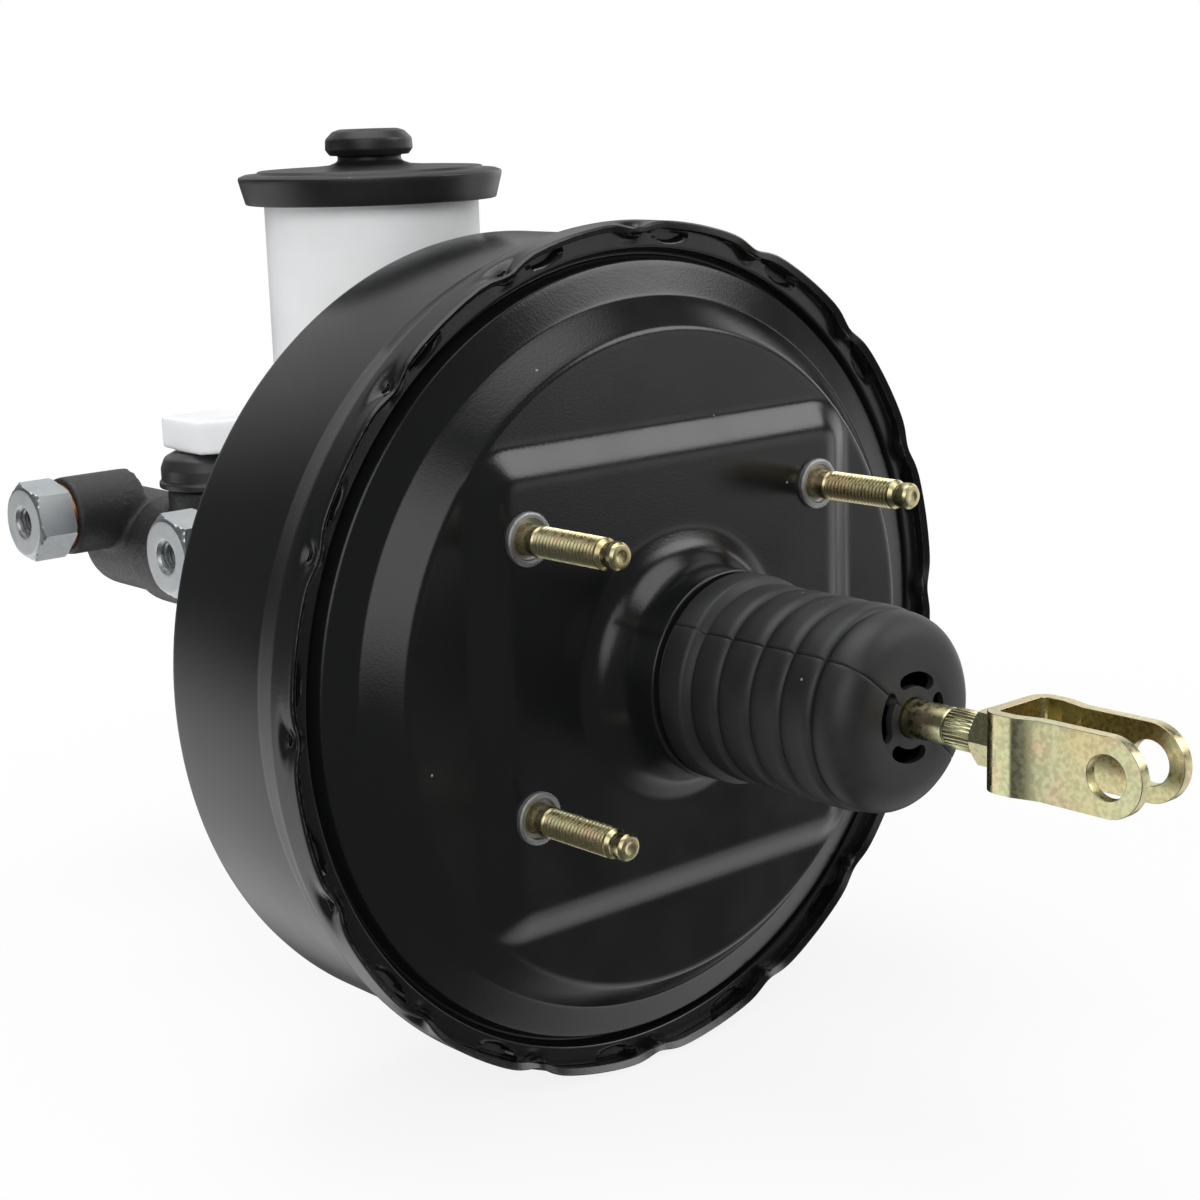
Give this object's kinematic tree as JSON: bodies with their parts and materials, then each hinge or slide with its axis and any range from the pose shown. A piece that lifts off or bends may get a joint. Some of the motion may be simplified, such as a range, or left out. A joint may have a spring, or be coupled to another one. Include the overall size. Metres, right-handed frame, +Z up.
{
  "type": "brake booster",
  "caption": "Vacuum brake booster with a tandem master cylinder and round fluid reservoir, sliding pedal rod and clevis, and threaded firewall studs.",
  "frame": {"origin": "centre of the rectangle of four firewall studs, on the face of the rear shell that meets the firewall; the booster's own axis is parallel to Y and 5.6 mm below this point", "axes": "-Y towards the brake pedal (studs, boot, rod and clevis), +Y towards the master cylinder, +Z up towards the reservoir cap, X to the right when looking along +Y"},
  "size_m": [0.2348, 0.4506, 0.2597],
  "materials": {
    "black_paint": "semi-gloss black enamel",
    "cast_black": "black painted casting",
    "yellow_zinc": "yellow chromate zinc",
    "bright_zinc": "bright zinc",
    "plain_steel": "plain",
    "spring_steel": "spring wire",
    "copper": "copper",
    "boot_rubber": "matte black rubber",
    "seal_rubber": "black rubber",
    "phenolic": "moulded resin",
    "bearing_plastic": "black nylon",
    "nylon": "translucent white nylon",
    "cap_plastic": "black plastic",
    "felt": "grey felt",
    "piston_alloy": "anodised"
  },
  "bodies": {
    "housing": {"front_shell": "black_paint", "rear_shell": "black_paint", "mounting_studs": "yellow_zinc", "backing_plate": "plain_steel", "hub_seal": "seal_rubber", "hub_bearing": "bearing_plastic", "return_spring": "spring_steel", "diaphragm": "seal_rubber", "front_seal": "seal_rubber", "master_cylinder_body": "cast_black", "outlet_unions": "bright_zinc", "outlet_washers": "copper", "stop_bolt": "bright_zinc", "stop_washer": "copper", "mc_studs": "bright_zinc", "mc_washers": "bright_zinc", "mc_nuts": "bright_zinc", "piston_stop": "plain_steel", "primary_spring": "spring_steel", "secondary_spring": "spring_steel", "reservoir": "nylon", "grommets": "seal_rubber", "valve_grommet": "seal_rubber", "check_valve": "bearing_plastic", "dust_boot": "boot_rubber"},
    "power_piston": {"valve_body": "phenolic", "reaction_disc": "seal_rubber", "output_rod": "plain_steel", "diaphragm_plate": "plain_steel", "poppet_valve": "seal_rubber", "poppet_spring": "spring_steel", "spring_retainer": "plain_steel", "rod_spring": "spring_steel", "air_filter": "felt"},
    "plunger": {"valve_plunger": "plain_steel"},
    "pedal_rod": {"input_rod": "yellow_zinc", "lock_nut": "yellow_zinc", "clevis": "yellow_zinc"},
    "primary_piston_body": {"primary_piston": "piston_alloy", "primary_cups": "seal_rubber"},
    "secondary_piston_body": {"secondary_piston": "piston_alloy", "secondary_cups": "seal_rubber"},
    "cap": {"reservoir_cap": "cap_plastic", "cap_diaphragm": "seal_rubber"}
  },
  "joints": [
    {"name": "power_piston_slide", "type": "slide", "parent": "housing", "child": "power_piston", "axis": [0, 1, 0], "range_m": [0, 0.03], "stiffness_N_per_m": 3000, "springref_m": -0.01, "deforming": ["return_spring", "diaphragm", "dust_boot", "primary_spring", "secondary_spring"]},
    {"name": "plunger_slide", "type": "slide", "parent": "power_piston", "child": "plunger", "axis": [0, 1, 0], "range_m": [0, 0.0012], "stiffness_N_per_m": 3000, "springref_m": -0.002, "deforming": ["rod_spring", "poppet_spring"]},
    {"name": "rod_swivel", "type": "hinge", "parent": "plunger", "child": "pedal_rod", "pos_m": [0, 0.006, -0.0056], "axis": [1, 0, 0], "range_deg": [-2.5, 2.5], "stiffness_Nm_per_rad": 40},
    {"name": "primary_piston_slide", "type": "slide", "parent": "housing", "child": "primary_piston_body", "axis": [0, 1, 0], "range_m": [0, 0.03]},
    {"name": "secondary_piston_slide", "type": "slide", "parent": "housing", "child": "secondary_piston_body", "axis": [0, 1, 0], "range_m": [0, 0.015]},
    {"name": "cap_lift", "type": "slide", "parent": "housing", "child": "cap", "axis": [0, 0, 1], "range_m": [0, 0.03]}
  ],
  "couplings": [
    {"joint": "primary_piston_slide", "follows": "power_piston_slide", "ratio": 1},
    {"joint": "secondary_piston_slide", "follows": "power_piston_slide", "ratio": 0.5}
  ]
}
